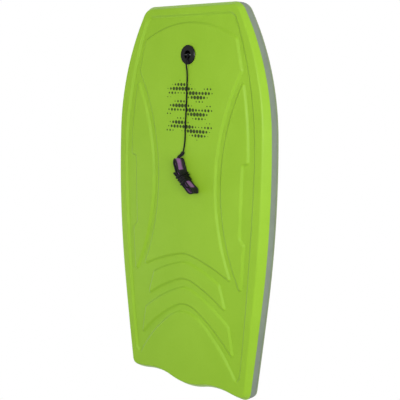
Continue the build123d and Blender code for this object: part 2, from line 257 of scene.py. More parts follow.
def fillFoamSkin(tree, given, spec=foamGrain):
    # closed-cell foam skin: fine pebbles over broad soft unevenness
    do, place = partial(calc, tree), {"Vector": given["Vector"]}
    pebble = addNode(tree, "ShaderNodeTexVoronoi", {**place, "Scale": given["Pebbles"]}).outputs["Distance"]
    broad = addNode(tree, "ShaderNodeTexNoise", {**place, **spec["broad"]}).outputs["Fac"]
    fine = addNode(tree, "ShaderNodeTexNoise", {**place, **spec["fine"]}).outputs["Fac"]
    height = do("ADD", do("MULTIPLY", pebble, spec["cellHeight"]), do("MULTIPLY", fine, spec["fineHeight"]))
    tone = do("ADD", do("MULTIPLY", broad, spec["broadTone"]), do("MULTIPLY", fine, spec["fineTone"]))
    return {"Height": height, "Tone": tone}


ribbons = {
    "stagger": 0.5,          # every other row of dots stands aside by this share of the pitch
    "swayStep": 0.5,         # how fast a ribbon wanders along its length, and how far
    "sway": 1.1,
    "swellStep": 1.45,       # how fast dots swell and shrink from row to row
    "swell": 0.22,
    "middleDot": 0.27,
    "smallestDot": 0.1,
    "softEdge": 0.05,
    "fadePower": 4.0,        # how suddenly the dots shrink at a ribbon's ends
}


def fillDots(tree, given, spec=ribbons):
    # rows of printed dots that swell and shrink into waving ribbons
    do = partial(calc, tree)
    place = addNode(tree, "ShaderNodeSeparateXYZ", {"Vector": given["Vector"]}).outputs
    row = do("DIVIDE", do("SUBTRACT", place["Y"], given["MiddleY"]), given["Pitch"])
    rowDot = do("ROUND", row)
    shift = do("MULTIPLY", do("MODULO", do("ABSOLUTE", rowDot), 2.0), spec["stagger"])
    column = do("ADD", do("DIVIDE", do("SUBTRACT", place["X"], given["MiddleX"]), given["Pitch"]), shift)
    columnDot = do("ROUND", column)
    du, dv = do("SUBTRACT", column, columnDot), do("SUBTRACT", row, rowDot)
    reach = do("SQRT", do("ADD", do("MULTIPLY", du, du), do("MULTIPLY", dv, dv)))
    sway = do("MULTIPLY", do("SINE", do("MULTIPLY", columnDot, spec["swayStep"])), spec["sway"])
    wave = do("ADD", rowDot, sway)
    swell = do("MULTIPLY", do("COSINE", do("MULTIPLY", wave, spec["swellStep"])), spec["swell"])
    within = do("LESS_THAN", do("DIVIDE", do("ABSOLUTE", wave), given["Rows"]), 1.0)
    edge = do("POWER", do("DIVIDE", do("ABSOLUTE", columnDot), given["Columns"]), spec["fadePower"])
    size = do("MULTIPLY", do("ADD", swell, spec["middleDot"]), within)
    radius = do("MULTIPLY", size, do("SUBTRACT", 1.0, edge, clamp=True))
    soft = do("DIVIDE", do("SUBTRACT", radius, reach), spec["softEdge"])
    mask = do("MULTIPLY", do("ADD", soft, 0.5, clamp=True), do("GREATER_THAN", radius, spec["smallestDot"]))
    return {"Mask": mask}


threadMix = {
    "fuzz": {"Scale": 900.0, "Detail": 2.0},
    # share of the threads' height in the tone: painted shade in the dips between threads
    "dipShade": 0.6,
    "fuzzTone": 0.4,
}


def fillWeave(tree, given, spec=threadMix):
    # crossing threads, from a place measured along and across the cloth; the tone holds painted shade, darker
    # where the threads dip, and random fuzz
    do = partial(calc, tree)
    place = addNode(tree, "ShaderNodeSeparateXYZ", {"Vector": given["Vector"]}).outputs
    warp, weft = (do("SINE", do("MULTIPLY", place[axis], given["Threads"])) for axis in "XY")
    height = do("ADD", do("MULTIPLY", do("MULTIPLY", warp, weft), 0.5), 0.5)
    fuzz = addNode(tree, "ShaderNodeTexNoise", {"Vector": given["Vector"], **spec["fuzz"]}).outputs["Fac"]
    tone = do("ADD", do("MULTIPLY", height, spec["dipShade"]), do("MULTIPLY", fuzz, spec["fuzzTone"]))
    return {"Height": height, "Tone": tone}


foamSkin = makeGroup("foamSkin", ["Pebbles"], ["Height", "Tone"], fillFoamSkin)
dotWave = makeGroup("dotWave", ["Pitch", "MiddleX", "MiddleY", "Columns", "Rows"], ["Mask"], fillDots)
weave = makeGroup("weave", ["Threads"], ["Height", "Tone"], fillWeave)


def makeMaterial(name, spec, paint):
    material = bpy.data.materials.new(name)
    material.use_nodes = True
    tree = material.node_tree
    shader = tree.nodes["Principled BSDF"]
    for label, value in spec["fixed"].items():
        shader.inputs[label].default_value = value
    place = addNode(tree, "ShaderNodeTexCoord").outputs["Object"]
    color, roughness, height = paint(tree, place, spec)
    bump = addNode(tree, "ShaderNodeBump",
                   {"Strength": spec["bump"], "Distance": spec["relief"], "Height": height})
    tree.links.new(color, shader.inputs["Base Color"])
    tree.links.new(roughness, shader.inputs["Roughness"])
    tree.links.new(bump.outputs["Normal"], shader.inputs["Normal"])
    return material


def paintFoam(tree, place, spec):
    skin = addNode(tree, "ShaderNodeGroup", {"Vector": place, "Pebbles": spec["pebbles"]}, node_tree=foamSkin)
    tone = skin.outputs["Tone"]
    color = mixed(tree, ranged(tree, tone, -0.3, 1.3), spec["dark"], spec["light"])
    if "dots" in spec:
        dots = addNode(tree, "ShaderNodeGroup", {"Vector": place, **spec["dots"]}, node_tree=dotWave)
        worn = calc(tree, "MULTIPLY", dots.outputs["Mask"], ranged(tree, tone, *spec["inkWear"]))
        color = mixed(tree, worn, color, spec["ink"])
    return color, ranged(tree, tone, *spec["rough"]), skin.outputs["Height"]


# colour follows the weave's tone, whose darker dips between threads are painted shade
def paintThreads(tree, place, spec):
    cloth = addNode(tree, "ShaderNodeGroup", {"Vector": place, "Threads": spec["threads"]}, node_tree=weave)
    tone = cloth.outputs["Tone"]
    return (mixed(tree, tone, spec["dark"], spec["light"]), ranged(tree, tone, *spec["rough"]),
            cloth.outputs["Height"], tone)


def paintBraid(tree, place, spec):
    # strands crossing round the cord, which runs along Y
    do, parts = partial(calc, tree), addNode(tree, "ShaderNodeSeparateXYZ", {"Vector": place}).outputs
    around = do("MULTIPLY", do("ADD", parts["X"], parts["Z"]), spec["slant"])
    join = addNode(tree, "ShaderNodeCombineXYZ", {"X": do("ADD", parts["Y"], around),
                                                  "Y": do("SUBTRACT", parts["Y"], around)})
    return paintThreads(tree, join.outputs["Vector"], spec)[:3]


def paintCloth(tree, place, spec):
    # the piece's laid attribute measures along, across and the share of the width
    do = partial(calc, tree)
    laid = addNode(tree, "ShaderNodeAttribute", attribute_name="laid").outputs["Vector"]
    color, roughness, height, tone = paintThreads(tree, laid, spec)
    if "panel" in spec:
        patch = addNode(tree, "ShaderNodeAttribute", attribute_name="panel").outputs["Fac"]
        color = mixed(tree, patch, color, mixed(tree, tone, *spec["panel"]))
    if "stitches" in spec:
        # a row of stitches just inside each bound edge
        sewing = spec["stitches"]
        parts = addNode(tree, "ShaderNodeSeparateXYZ", {"Vector": laid}).outputs
        level = do("ABSOLUTE", do("SUBTRACT", parts["Z"], 0.5))
        row = do("LESS_THAN", do("ABSOLUTE", do("SUBTRACT", level, sewing["fromMiddle"])), sewing["half"])
        dash = do("GREATER_THAN", do("SINE", do("MULTIPLY", parts["X"], sewing["pitch"])), sewing["gap"])
        sewn = do("MULTIPLY", row, dash)
        color = mixed(tree, sewn, color, sewing["color"])
        height = do("ADD", height, do("MULTIPLY", sewn, sewing["proud"]))
    return color, roughness, height


def paintPlain(tree, place, spec):
    # moulded plastic, sheet or metal with fine mottling and faint scuffs
    mottle = addNode(tree, "ShaderNodeTexNoise", {"Vector": place, "Scale": spec["grain"], "Detail": 5.0})
    scuff = addNode(tree, "ShaderNodeTexNoise", {"Vector": place, "Scale": 45.0, "Detail": 6.0,
                                                 "Roughness": 0.7, "Distortion": 1.2})
    return (mixed(tree, mottle.outputs["Fac"], spec["dark"], spec["light"]),
            ranged(tree, scuff.outputs["Fac"], *spec["rough"]), mottle.outputs["Fac"])


# colours, grain and gloss of each finish; "fixed" values go straight on the shader
finishes = {
    "deckFoam": (paintFoam, {
        "dark": srgb(130, 172, 36), "light": srgb(140, 182, 46), "ink": srgb(22, 28, 16), "inkWear": (0.8, 1.0),
        "dots": {"Pitch": 0.0115, "MiddleX": 0.012, "MiddleY": 0.252, "Columns": 8.2, "Rows": 6.5},
        "pebbles": 620.0, "rough": (0.30, 0.44), "bump": 0.4, "relief": 0.0004,
        "fixed": {"Specular IOR Level": 0.22},
    }),
    "railFoam": (paintFoam, {
        "dark": srgb(108, 118, 106), "light": srgb(128, 139, 125), "pebbles": 900.0, "rough": (0.5, 0.65),
        "bump": 0.35, "relief": 0.0003, "fixed": {"Specular IOR Level": 0.2},
    }),
    "coreFoam": (paintFoam, {
        "dark": srgb(214, 216, 210), "light": srgb(236, 236, 230), "pebbles": 300.0, "rough": (0.7, 0.85),
        "bump": 0.5, "relief": 0.0008, "fixed": {"Specular IOR Level": 0.3},
    }),
    "bottomSlick": (paintPlain, {
        "dark": srgb(104, 120, 84), "light": srgb(114, 131, 93), "grain": 60.0, "rough": (0.24, 0.38),
        "bump": 0.08, "relief": 0.0003, "fixed": {"Coat Weight": 0.25, "Coat Roughness": 0.15},
    }),
    "plugPlastic": (paintPlain, {
        "dark": srgb(5, 5, 5), "light": srgb(14, 14, 14), "grain": 900.0, "rough": (0.24, 0.4),
        "bump": 0.15, "relief": 0.0002, "fixed": {"Specular IOR Level": 0.36},
    }),
    "pinSteel": (paintPlain, {
        "dark": srgb(170, 172, 176), "light": srgb(205, 206, 208), "grain": 1400.0, "rough": (0.16, 0.3),
        "bump": 0.05, "relief": 0.0001, "fixed": {"Metallic": 1.0},
    }),
    "cordBraid": (paintBraid, {
        "dark": srgb(6, 7, 8), "light": srgb(26, 27, 28), "threads": 3400.0, "slant": 0.9,
        "rough": (0.55, 0.75), "bump": 0.6, "relief": 0.0003, "fixed": {"Specular IOR Level": 0.15},
    }),
    "webbingBlack": (paintCloth, {
        "dark": srgb(4, 4, 5), "light": srgb(20, 20, 21), "threads": 5200.0, "rough": (0.4, 0.56),
        "bump": 0.6, "relief": 0.0004, "fixed": {"Specular IOR Level": 0.25},
    }),
    "strapBlack": (paintCloth, {
        "dark": srgb(6, 7, 7), "light": srgb(24, 25, 26), "threads": 6500.0, "rough": (0.6, 0.8),
        "panel": (srgb(110, 66, 122), srgb(158, 110, 166)),
        "stitches": {"color": srgb(70, 72, 76), "fromMiddle": 0.345, "half": 0.014, "pitch": 2400.0,
                     "gap": -0.3, "proud": 1.5},
        "bump": 0.5, "relief": 0.0003, "fixed": {"Specular IOR Level": 0.3},
    }),
    "liningPurple": (paintCloth, {
        "dark": srgb(92, 54, 104), "light": srgb(142, 96, 150), "threads": 7000.0, "rough": (0.7, 0.9),
        "bump": 0.5, "relief": 0.0003, "fixed": {"Sheen Weight": 0.05, "Sheen Roughness": 0.5},
    }),
    "hookBlack": (paintCloth, {
        "dark": srgb(10, 10, 12), "light": srgb(50, 50, 54), "threads": 3000.0, "rough": (0.8, 0.95),
        "bump": 1.0, "relief": 0.0006, "fixed": {"Sheen Weight": 0.2, "Sheen Roughness": 0.6},
    }),
}
paints = {name: makeMaterial(name, spec, paint) for name, (paint, spec) in finishes.items()}
print("materials", len(paints))

cord = {
    "diameter": 0.004,
    "route": [
        (0.0, 0.3968, 0.0506), (0.001, 0.3875, 0.0574), (0.0028, 0.371, 0.0582),
        (0.0026, 0.348, 0.0539), (0.0008, 0.311, 0.0539), (0.0009, 0.262, 0.0549),
        (-0.0019, 0.213, 0.0556), (-0.0016, 0.172, 0.0561), (-0.004, 0.147, 0.0575),
        (-0.0056, 0.132, 0.0610),
    ],
    "routeSteps": 16,
    "roundSteps": 6,
}


def makeCord(spec):
    curve = bpy.data.curves.new("leashCord", "CURVE")
    curve.dimensions = "3D"
    curve.resolution_u = spec["routeSteps"]
    curve.bevel_depth = 1.0          # the points' own radius gives the size, and with it the right box
    curve.bevel_resolution = spec["roundSteps"]
    curve.use_fill_caps = True
    spline = curve.splines.new("NURBS")
    spline.points.add(len(spec["route"]) - 1)
    for point, place in zip(spline.points, spec["route"]):
        point.co = (*place, 1)
        point.radius = spec["diameter"] / 2
    spline.order_u = 3
    spline.use_endpoint_u = True
    return placed("leashCord", curve)


leashCord = makeCord(cord)
settle(leashCord, "leash_cord", "cordBraid")
print("cord laid")

board = {
    "length": 1.075,
    "width": 0.568,
    "noseWidth": 0.352,
    "noseCorner": 0.042,
    "noseTuck": 0.62,        # share of the corner's radius that lies inside the nose width
    "noseAngle": 30.8,       # which way the edge faces where the corner ends
    "widePoint": 0.447,      # from the nose
    "bellyShare": 0.588,     # share of the run to the tail that the belly's arc takes
    "bellyDraw": 1.36,
    "tailWidth": 0.461,
    "tailCorner": 0.026,
    "notchDepth": 0.0175,
    "notchSpacing": 0.238,
    "tipDepth": 0.0095,
    "noseBand": 0.270,
    "tailBand": 0.370,
    "tailJoint": 8,          # the arc that begins where the rail strips meet the tail's band
    "step": 0.009,
    "turnStep": 7.0,
}


def facing(angle):
    return np.array((math.cos(math.radians(angle)), math.sin(math.radians(angle))))


def angleOf(way):
    return math.degrees(math.atan2(way[1], way[0]))


def joiningRadius(point, angle, centre, radius):
    # of the arc that leaves a point square to its facing and runs smoothly into a circle
    gap = point - centre
    return (gap @ gap - radius ** 2) / (2 * (gap @ facing(angle) - radius))


def swing(drop, across):
    # radius and turn of each of two mirrored arcs that step down smoothly
    radius = (across ** 2 + drop ** 2) / (4 * drop)
    return radius, math.degrees(math.asin(across / 2 / radius))


def planArcs(spec):
    # right-hand edge from nose to tail: centre, radius (minus where hollow), first and last facing
    nose, tail = spec["length"] / 2, -spec["length"] / 2
    corner, heel, flare = spec["noseCorner"], spec["tailCorner"], spec["noseAngle"]
    noseAt = np.array((spec["noseWidth"] / 2 - corner * spec["noseTuck"], nose - corner))
    heelAt = np.array((spec["tailWidth"] / 2 - heel, tail + spec["tipDepth"] + heel))
    wide = np.array((spec["width"] / 2, nose - spec["widePoint"]))
    run = wide - heelAt
    lean = spec["bellyDraw"] * angleOf((run[1], run[0] - heel))
    belly = spec["bellyShare"] * run[1] / math.sin(math.radians(lean))
    bellyAt = wide - (belly, 0)
    touch = noseAt + facing(flare) * corner
    shoulder = joiningRadius(touch, flare, bellyAt, belly)
    shoulderAt = touch - facing(flare) * shoulder
    shoulderEnd = angleOf(shoulderAt - bellyAt)
    bellyEnd = bellyAt + facing(-lean) * belly
    hip = joiningRadius(bellyEnd, -lean, heelAt, heel)
    hipAt = bellyEnd - facing(-lean) * hip
    hipEnd = angleOf(heelAt - hipAt)
    notchX, notchY = spec["notchSpacing"] / 2, tail + spec["notchDepth"]
    tip, tipTurn = swing(spec["notchDepth"] - spec["tipDepth"], heelAt[0] - notchX)
    bulge, bulgeTurn = swing(spec["notchDepth"], notchX)
    tipAt = (heelAt[0], tail + spec["tipDepth"] + tip)
    joint = -90 - math.degrees(math.asin((heelAt[0] - spec["tailBand"] / 2) / tip))
    return [
        (0.0, nose, 0.0, 90, 90), (spec["noseBand"] / 2, nose, 0.0, 90, 90), (*noseAt, corner, 90, flare),
        (*shoulderAt, shoulder, flare, shoulderEnd), (*bellyAt, belly, shoulderEnd, -lean),
        (*hipAt, hip, -lean, hipEnd), (*heelAt, heel, hipEnd, -90), (*tipAt, tip, -90, joint),
        (*tipAt, tip, joint, -90 - tipTurn), (notchX, notchY - tip, -tip, -90 - tipTurn, -90),
        (notchX, notchY - bulge, -bulge, -90, bulgeTurn - 90), (0.0, tail + bulge, bulge, bulgeTurn - 90, -90),
    ]


def edgeMarks(arcs, spec):
    # steps along each arc, the same for every inset
    marks = []
    for k, (cx, cy, radius, first, last) in enumerate(arcs):
        turn = abs(first - last)
        span = abs(radius * math.radians(turn)) if turn else arcs[k + 1][0] - cx
        marks.append(max(1, math.ceil(span / spec["step"]), math.ceil(turn / spec["turnStep"])))
    return marks


boardArcs = planArcs(board)
edgeSteps = edgeMarks(boardArcs, board)


def boardLoop(inset):
    # plan outline moved inwards, nose middle first, right side, tail, left side
    half = []
    for k, (count, (cx, cy, radius, first, last)) in enumerate(zip(edgeSteps, boardArcs)):
        for share in np.arange(count) / count:
            if first == last:
                half.append((cx + (boardArcs[k + 1][0] - cx) * share, cy - inset))
            else:
                half.append(np.array((cx, cy)) + (radius - inset) * facing(first + (last - first) * share))
    middle = boardArcs[-1]
    half.append((0.0, middle[1] - middle[2] + inset))
    left = [(-x, y) for x, y in half[-2:0:-1]]
    return np.array(half + left)


deck = {
    "arcRadius": 16.9,
    "arcHigh": -0.0315,
    "arcTop": 0.055,
    "grooveDepth": 0.006,
    "reliefDepth": 0.0050,   # how deep the softened foam goes there
    "bandTop": 0.031,
    "lean": 0.60,
    "crestRound": 0.004,
    "thickness": 0.010,
    "rings": [0.0003, 0.0012, 0.0028, 0.005, 0.0068, 0.0082, 0.0094, 0.0105, 0.0116, 0.0128, 0.0142, 0.016,
              0.0185],
    "lip": [(0.0002, 0.0313), (0.0006, 0.0311), (0.0012, 0.03105), (0.0062, 0.03105)],
    "wallRows": [-0.0064, -0.0052, -0.0042, -0.0033, -0.0024, -0.0015, -0.0006, 0.0004, 0.0014, 0.0024,
                 0.0033, 0.0045],
    "wallTop": -0.0052,      # where the rounded groove wall starts and ends, across its line
    "wallFoot": 0.0031,
    "wallStep": 0.004,
    "wallSlack": 0.00025,    # a wall point nearer than this to another wall's row is dropped
    "wallCell": 0.0006,      # as are points closer together than this
    "wallInside": 0.001,
    "flatStep": 0.011,
    "flatInside": 0.004,
    "flatClear": 0.009,      # from the groove walls
    "footSlack": 0.0006,     # heights this near the groove's floor count as floor
    "onLine": 0.0003,
    "level": 0.9,            # a face tilted less than this counts as lying flat
    "corner": 0.93,          # a groove line turning more than this has a corner
    "hub": (0.0, 0.4015),
    "hubClear": 0.037,
    "plugClear": 0.03,
    "hole": 0.0160,
    "holeSides": 48,
    "seatRings": [0.0262, 0.0275, 0.0290, 0.0310, 0.0340],
    "seatSink": 0.0009,
    "underInset": 0.016,
    "underStep": 0.045,
}


def deckArc(y, spec=deck):
    return spec["arcTop"] - spec["arcRadius"] + np.sqrt(spec["arcRadius"] ** 2 - (y - spec["arcHigh"]) ** 2)


def grooveLines(piece, spec):
    # foot of every groove wall, as closed lines of places with the way into the groove
    work = bmesh.new()
    work.from_mesh(piece.data)
    bmesh.ops.remove_doubles(work, verts=work.verts, dist=2e-6)
    work.normal_update()
    work.verts.index_update()
    work.verts.ensure_lookup_table()
    links = {}
    hub = Vector(spec["hub"])
    for edge in work.edges:
        if len(edge.link_faces) != 2:
            continue
        wall, floor = (face.normal for face in sorted(edge.link_faces, key=lambda face: face.normal.z))
        middle = (edge.verts[0].co + edge.verts[1].co) / 2
        high = middle.z - deckArc(middle.y) + spec["grooveDepth"]
        if abs(wall.z) > 0.1 or floor.z < 0.98 or abs(high) > spec["footSlack"]:
            continue
        if (middle.xy - hub).length < spec["plugClear"]:
            continue
        a, b = edge.verts[0].index, edge.verts[1].index
        links.setdefault(a, []).append((b, wall.copy()))
        links.setdefault(b, []).append((a, wall.copy()))
    places = {i: work.verts[i].co.xy.copy() for i in links}
    loops, seen = [], set()
    for start in links:
        if start in seen or len(links[start]) != 2:
            continue
        line, before, at = [], None, start
        while at not in seen:
            seen.add(at)
            there, normal = [option for option in links[at] if option[0] != before][0]
            line.append((places[at], normal.xy.normalized()))
            before, at = at, there
        loops.append(line)
    work.free()
    return loops


def runOf(places):
    # distance along a row of places
    return np.concatenate([[0], np.cumsum(np.linalg.norm(np.diff(places, axis=0), axis=1))])


def evenLine(line, spec):
    # the line at even steps, corners kept, each place with its mitred way inwards
    near = 1e-6
    spots = np.array([tuple(p) for p, _ in line])
    ways = np.array([tuple(n) for _, n in line])
    count = len(spots)
    corners = [i for i in range(count) if ways[i] @ ways[i - 1] < spec["corner"]] or [0]
    out = []
    for k, first in enumerate(corners):
        last = corners[(k + 1) % len(corners)]
        run = np.array([(first + j) % count for j in range((last - first) % count or count)] + [last])
        places = spots[run]
        length = runOf(places)
        if length[-1] < near:
            continue
        parts = max(1, round(length[-1] / spec["wallStep"]))
        at = np.linspace(0, length[-1], parts + 1)[:-1]
        x, y = (np.interp(at, length, places[:, c]) for c in (0, 1))
        seg = np.clip(np.searchsorted(length, at, side="right") - 1, 0, len(run) - 2)
        for j in range(parts):
            after = prior = ways[run[seg[j]]]
            if j == 0:
                prior = ways[run[0] - 1]
            elif at[j] - length[seg[j]] < near:
                prior = ways[run[max(seg[j] - 1, 0)]]
            both = prior + after
            both = both / max(np.hypot(*both), near)
            both = both * min(1 / max(both @ after, 0.45), 2.0)   # a sharp mitre is cut short
            out.append((x[j], y[j], *both))
    return np.array(out)


def treeOf(piece):
    mesh = piece.data
    mesh.calc_loop_triangles()
    return BVHTree.FromPolygons([v.co.copy() for v in mesh.vertices],
                                [tuple(t.vertices) for t in mesh.loop_triangles])


def curtainOf(loops):
    # upright faces along the lines, to measure distances from
    verts, faces = [], []
    for line in loops:
        for k in range(len(line)):
            (ax, ay), (bx, by) = line[k - 1][0], line[k][0]
            base = len(verts)
            verts += [(ax, ay, -1), (bx, by, -1), (bx, by, 1), (ax, ay, 1)]
            faces.append((base, base + 1, base + 2, base + 3))
    return BVHTree.FromPolygons(verts, faces)


def ringAround(hub, radius, sides):
    turn = np.linspace(0, 2 * np.pi, sides, endpoint=False)
    return hub + radius * np.column_stack([np.cos(turn), np.sin(turn)])


def lifted(places, level):
    return np.column_stack([places, np.broadcast_to(level, len(places))])


def insideLoop(loop, points):
    inside = np.zeros(len(points), bool)
    for a, b in zip(loop, np.roll(loop, -1, axis=0)):
        if a[1] != b[1]:
            crosses = (a[1] > points[:, 1]) != (b[1] > points[:, 1])
            inside ^= crosses & (points[:, 0] < (b[0] - a[0]) * (points[:, 1] - a[1]) / (b[1] - a[1]) + a[0])
    return inside


def staggered(box, step):
    # rows of points over a box, every other row half a step aside
    columns = np.arange(box[0][0], box[1][0], step)
    rows = np.arange(box[0][1], box[1][1], step * 0.87)
    return np.vstack([lifted(columns + (step / 2 if k % 2 else 0), y) for k, y in enumerate(rows)])


def sparse(box, step, hub, clear=0.03):
    # points for a plain face, clear of its edge and of the plug
    spots = staggered(box, step)
    return spots[insideLoop(boardLoop(clear), spots) & (np.hypot(*(spots - hub).T) > clear)]


def thinned(points, cell):
    _, first = np.unique(np.round(points / cell).astype(int), axis=0, return_index=True)
    return points[np.sort(first)]


def triangulated(points, rims):
    # triangles inside the first rim and outside the second, which open the points list
    edges, start = [], 0
    for count in rims:
        edges += [(start + i, start + (i + 1) % count) for i in range(count)]
        start += count
    made = delaunay_2d_cdt([Vector(p) for p in points], edges, [], 1, 1e-7)
    places = np.array([tuple(p) for p in made[0]])
    hole = {i for i, ids in enumerate(made[3]) if ids and rims[0] <= min(ids) < start}
    return places, [tuple(face) for face in made[2] if not hole.issuperset(face)]


def makeDeckFoam(spec):
    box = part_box("deck_skin")
    solid = treeOf(nodes["deck_skin"])
    loops = grooveLines(nodes["deck_skin"], spec)
    curtain = curtainOf(loops)
    hub, seats, rings = np.array(spec["hub"]), spec["seatRings"], spec["rings"]

    def gaps(points):
        # distance from the foot of the nearest groove wall
        return np.array([curtain.find_nearest(Vector((x, y, 0)))[3] for x, y in points])

    def across(points):
        # the same, plus inside the groove and minus outside it
        away = gaps(points)
        for k, (x, y) in enumerate(points):
            if away[k] > spec["onLine"]:
                hit, normal, _, _ = solid.ray_cast(Vector((x, y, 0.2)), Vector((0, 0, -1)))
                floor = deckArc(y) - spec["grooveDepth"] + spec["footSlack"]
                if hit is None or hit.z >= floor or normal.z <= spec["level"]:
                    away[k] = -away[k]
        return away

    def heights(points):
        share = softStep(across(points), spec["wallTop"], spec["wallFoot"])
        sink = 1 - softStep(np.hypot(*(points - hub).T), seats[0], seats[3])
        return deckArc(points[:, 1]) - spec["reliefDepth"] * share - spec["seatSink"] * sink

    def crest(points, inset):
        # rounded meeting of the side bevel and the top
        level, bevel, k = deckArc(points[:, 1]), spec["bandTop"] + inset / spec["lean"], spec["crestRound"]
        mix = np.clip(0.5 + 0.5 * (bevel - level) / k, 0, 1)
        return bevel * (1 - mix) + level * mix - k * mix * (1 - mix)

    last = boardLoop(rings[-1])
    hole = ringAround(hub, spec["hole"], spec["holeSides"])
    walls = []
    for line in loops:
        even = evenLine(line, spec)
        for offset in spec["wallRows"]:
            spots = even[:, :2] + even[:, 2:] * offset
            walls.append(spots[gaps(spots) > abs(offset) - spec["wallSlack"]])
    walls = thinned(np.vstack(walls), spec["wallCell"])
    walls = walls[insideLoop(boardLoop(rings[-1] + spec["wallInside"]), walls)]
    flats = staggered(box, spec["flatStep"])
    flats = flats[insideLoop(boardLoop(rings[-1] + spec["flatInside"]), flats)]
    flats = flats[(gaps(flats) > spec["flatClear"]) & (np.hypot(*(flats - hub).T) > spec["hubClear"])]
    seat = [ringAround(hub, radius, spec["holeSides"]) for radius in seats]
    places, faces = triangulated(np.vstack([last, hole, *seat, walls, flats]), [len(last), len(hole)])
    band = [lifted(last, heights(last))]
    for inset in rings[-2::-1]:
        ring = boardLoop(inset)
        band.append(lifted(ring, crest(ring, inset)))
    band += [lifted(boardLoop(inset), z) for inset, z in spec["lip"]]
    inner = boardLoop(spec["underInset"])
    band.append(lifted(inner, deckArc(inner[:, 1]) - spec["thickness"]))
    under, underFaces = triangulated(np.vstack([inner, hole, sparse(box, spec["underStep"], hub)]),
                                     [len(inner), len(hole)])
    bore = [lifted(hole, heights(hole)), lifted(hole, deckArc(hole[:, 1]) - spec["thickness"])]
    blocks = [(lifted(places, heights(places)), faces), (np.vstack(band), gridFaces(len(band), len(last))),
              (lifted(under, deckArc(under[:, 1]) - spec["thickness"]), underFaces),
              (np.vstack(bore), gridFaces(2, len(hole)))]
    piece = buildPiece("deckFoam", blocks, 60)
    print("deck foam", len(loops), "grooves", len(piece.data.vertices), "points",
          len(piece.data.polygons), "faces")
    return piece


settle(makeDeckFoam(deck), "deck_skin", "deckFoam")

rails = {
    "thickness": 0.006,
    "round": 0.0005,
    "low": 0.0101,
    "high": 0.0310,
    "joint": 0.0002,         # half of the hairline between two strips
    "endRound": 0.12,
    "tuck": {"railTail": 0.0008},  # the skin's lip stands this far over the tail's band
}


def makeRail(name, first, last, spec):
    # band of laminated foam between two marks of the outline, its edges slightly rounded
    low, high, r, tuck = spec["low"], spec["high"], spec["round"], spec["tuck"].get(name, 0)
    inner = spec["thickness"]
    profile = [(inner, low), (tuck + 2 * r, low), (tuck + 0.4 * r, low + 0.4 * r), (tuck, low + 1.6 * r),
               (tuck, (low + high) / 2), (tuck, high - 1.6 * r), (tuck + 0.4 * r, high - 0.4 * r),
               (tuck + 2 * r, high), (inner, high)]
    loops = np.array([lifted(boardLoop(inset), z) for inset, z in profile])
    count = loops.shape[1]
    marks = [(first + k) % count for k in range((last - first) % count + 1)]
    sections = loops[:, marks].swapaxes(0, 1).copy()
    for end, sign in ((0, 1), (-1, -1)):
        along = sections[end + sign] - sections[end]
        sections[end] += along / np.linalg.norm(along, axis=1)[:, None] * spec["joint"]
        sections[end][1:-1, :2] += (sections[end][0, :2] - sections[end][1:-1, :2]) * spec["endRound"]
    return buildPiece(name, [shellOf(sections)], 40)


marks = np.concatenate([[0], np.cumsum(edgeSteps)])
noseMark, tailMark = int(marks[1]), int(marks[board["tailJoint"]])
total = len(boardLoop(0))
for name, node, first, last in [
    ("railRight", "rail_right", noseMark, tailMark),
    ("railLeft", "rail_left", total - tailMark, total - noseMark),
    ("railNose", "nose_rail", total - noseMark, noseMark),
    ("railTail", "tail_rail", tailMark, total - tailMark),
]:
    settle(makeRail(name, first, last, rails), node, "railFoam")
print("rails", noseMark, tailMark, total)

bottomSkin = {
    # inset and height, up the inside and then down the rounded edge to the flat
    "edge": [(0.0062, 0.0040), (0.0062, 0.0100), (0.0010, 0.0100), (0.0003, 0.0097), (0.0001, 0.0088),
             (0.0006, 0.0045), (0.0012, 0.0022), (0.0022, 0.0008), (0.0040, 0.0001), (0.0070, 0.0)],
    "plug": (0.0, 0.4015),
    "recess": 0.02215,
    "recessDepth": 0.0025,
    "bore": 0.0119,
    "sides": 64,
    "pointStep": 0.04,
}


def makeBottom(spec):
    hub = np.array(spec["plug"])
    wide, narrow = (ringAround(hub, spec[part], spec["sides"]) for part in ("recess", "bore"))
    band = [lifted(boardLoop(inset), z) for inset, z in spec["edge"]]
    top, step = spec["edge"][0][1], spec["recessDepth"]
    coarse = sparse(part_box("bottom_skin"), spec["pointStep"], hub)
    flat, flatFaces = triangulated(np.vstack([band[-1][:, :2], wide, coarse]), [total, len(wide)])
    roof, roofFaces = triangulated(np.vstack([band[0][:, :2], narrow, coarse]), [total, len(narrow)])
    bore = [lifted(wide, 0.0), lifted(wide, step), lifted(narrow, step), lifted(narrow, top)]
    blocks = [(np.vstack(band), gridFaces(len(band), total)), (lifted(flat, 0.0), flatFaces),
              (lifted(roof, top), roofFaces), (np.vstack(bore), gridFaces(len(bore), len(wide)))]
    return buildPiece("bottomSlick", blocks, 50)


settle(makeBottom(bottomSkin), "bottom_skin", "bottomSlick")
print("bottom skin")


def routePoints(piece):
    # places along the cord's own spline, as Blender draws it
    bare = piece.data.copy()
    bare.bevel_depth = 0
    shape = bpy.data.objects.new("bareRoute", bare)
    mesh = bpy.data.meshes.new_from_object(shape)
    places = np.array([tuple(v.co) for v in mesh.vertices])
    bpy.data.objects.remove(shape)
    bpy.data.meshes.remove(mesh)
    bpy.data.curves.remove(bare)
    return places


def waysAlong(places):
    ways = np.gradient(places, axis=0)
    return ways / np.linalg.norm(ways, axis=1)[:, None]


def tubeAlong(places, radius, sides=12):
    # round tube over a row of places, its ring turned as little as possible from one to the next
    places = np.asarray(places, float)
    ways = waysAlong(places)
    side = np.cross(ways[0], (0.3, 0.2, 1.0))
    turn = np.linspace(0, 2 * np.pi, sides, endpoint=False)[:, None]
    rings = []
    for place, way in zip(places, ways):
        side = side - way * (side @ way)
        side /= np.linalg.norm(side)
        rings.append(place + radius * (np.cos(turn) * side + np.sin(turn) * np.cross(way, side)))
    return shellOf(rings)


